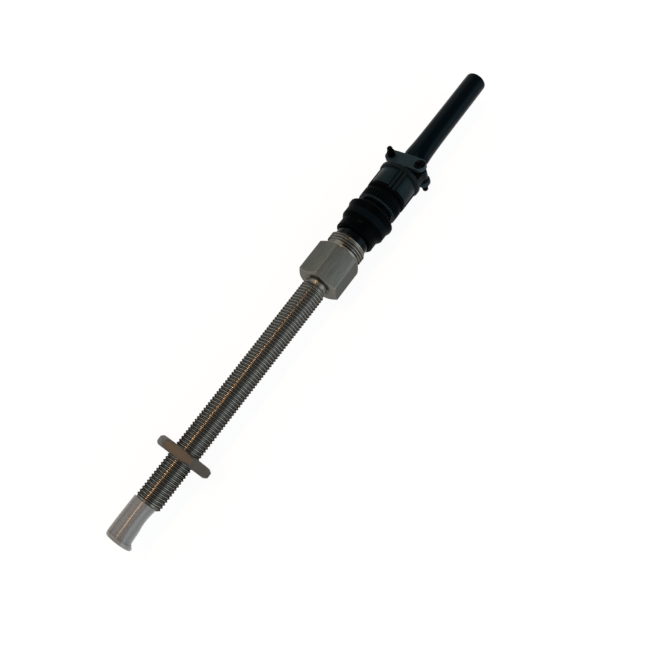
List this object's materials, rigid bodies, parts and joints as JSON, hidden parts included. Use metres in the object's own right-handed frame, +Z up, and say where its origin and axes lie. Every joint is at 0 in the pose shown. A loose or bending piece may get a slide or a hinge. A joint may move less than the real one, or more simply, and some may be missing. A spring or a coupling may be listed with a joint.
{
  "type": "threaded barrel speed probe",
  "caption": "Threaded stainless barrel sensor probe with lock nut, hex housing, bayonet connector, mated plug with cable clamp and rubber bushing, and a soft tip cap.",
  "frame": {"origin": "middle of the bounding box, on the surface the probe lies on", "axes": "+X along the probe from the sensing tip to the cable end, +Z up"},
  "size_m": [0.2776, 0.0278, 0.0242],
  "materials": {
    "steel": "turned stainless steel",
    "black_shell": "black anodised",
    "clamp_grey": "blue-grey anodised",
    "rubber": "satin black",
    "moulding": "moulded",
    "gold_contact": "gold flashed",
    "cap_plastic": "milky translucent"
  },
  "bodies": {
    "probe": {"threaded_barrel": "steel", "hex_housing": "steel", "sensing_nose": "steel", "hall_element": "moulding", "bias_magnet": "steel", "sensor_board": "moulding", "lead_wire_1": "rubber", "lead_wire_2": "rubber", "lead_wire_3": "rubber", "receptacle_shell": "black_shell", "receptacle_gasket": "rubber", "receptacle_insert": "moulding", "contact_pin_1": "gold_contact", "contact_pin_2": "gold_contact", "contact_pin_3": "gold_contact"},
    "nut": {"lock_nut": "steel"},
    "tip_cap": {"protective_cap": "cap_plastic"},
    "plug": {"plug_shell": "black_shell", "interface_seal": "rubber", "plug_insert": "moulding", "socket_contact_1": "gold_contact", "socket_contact_2": "gold_contact", "socket_contact_3": "gold_contact", "wire_grommet": "rubber", "wave_spring": "steel", "retaining_ring": "steel", "back_nut": "black_shell", "clamp_body": "clamp_grey", "rubber_bushing": "rubber"},
    "ring": {"coupling_ring": "black_shell", "bayonet_pin_1": "steel", "bayonet_pin_2": "steel", "bayonet_pin_3": "steel"},
    "front_bar": {"front_clamp_bar": "clamp_grey"},
    "front_screw": {"front_clamp_screw": "steel"},
    "rear_bar": {"rear_clamp_bar": "clamp_grey"},
    "rear_screw": {"rear_clamp_screw": "steel"}
  },
  "joints": [
    {"name": "nut_travel", "type": "slide", "parent": "probe", "child": "nut", "axis": [1, 0, 0], "range_m": [-0.018, 0.088]},
    {"name": "cap_pull", "type": "slide", "parent": "probe", "child": "tip_cap", "axis": [-1, 0, 0], "range_m": [0, 0.02]},
    {"name": "plug_pull", "type": "slide", "parent": "probe", "child": "plug", "axis": [1, 0, 0], "range_m": [0, 0.0042]},
    {"name": "ring_turn", "type": "hinge", "parent": "plug", "child": "ring", "pos_m": [0.0346, 0, 0.0121], "axis": [1, 0, 0], "range_deg": [0, 110.1]},
    {"name": "front_bar_lift", "type": "slide", "parent": "plug", "child": "front_bar", "axis": [0, 0.3338, 0.9426], "range_m": [0, 0.001]},
    {"name": "front_screw_turn", "type": "hinge", "parent": "front_bar", "child": "front_screw", "pos_m": [0.0756, -0.00768, 0.01482], "axis": [0, 0.3338, 0.9426], "range_deg": [0, 720.1]},
    {"name": "rear_bar_lift", "type": "slide", "parent": "plug", "child": "rear_bar", "axis": [0, -0.3338, -0.9426], "range_m": [0, 0.001]},
    {"name": "rear_screw_turn", "type": "hinge", "parent": "rear_bar", "child": "rear_screw", "pos_m": [0.0756, 0.00768, 0.00938], "axis": [0, -0.3338, -0.9426], "range_deg": [0, 720.1]}
  ],
  "couplings": [
    {"joint": "ring_turn", "follows": "plug_pull", "rad_per_m": 457.11},
    {"joint": "front_screw_turn", "follows": "front_bar_lift", "rad_per_m": 12566},
    {"joint": "rear_screw_turn", "follows": "rear_bar_lift", "rad_per_m": 12566}
  ]
}
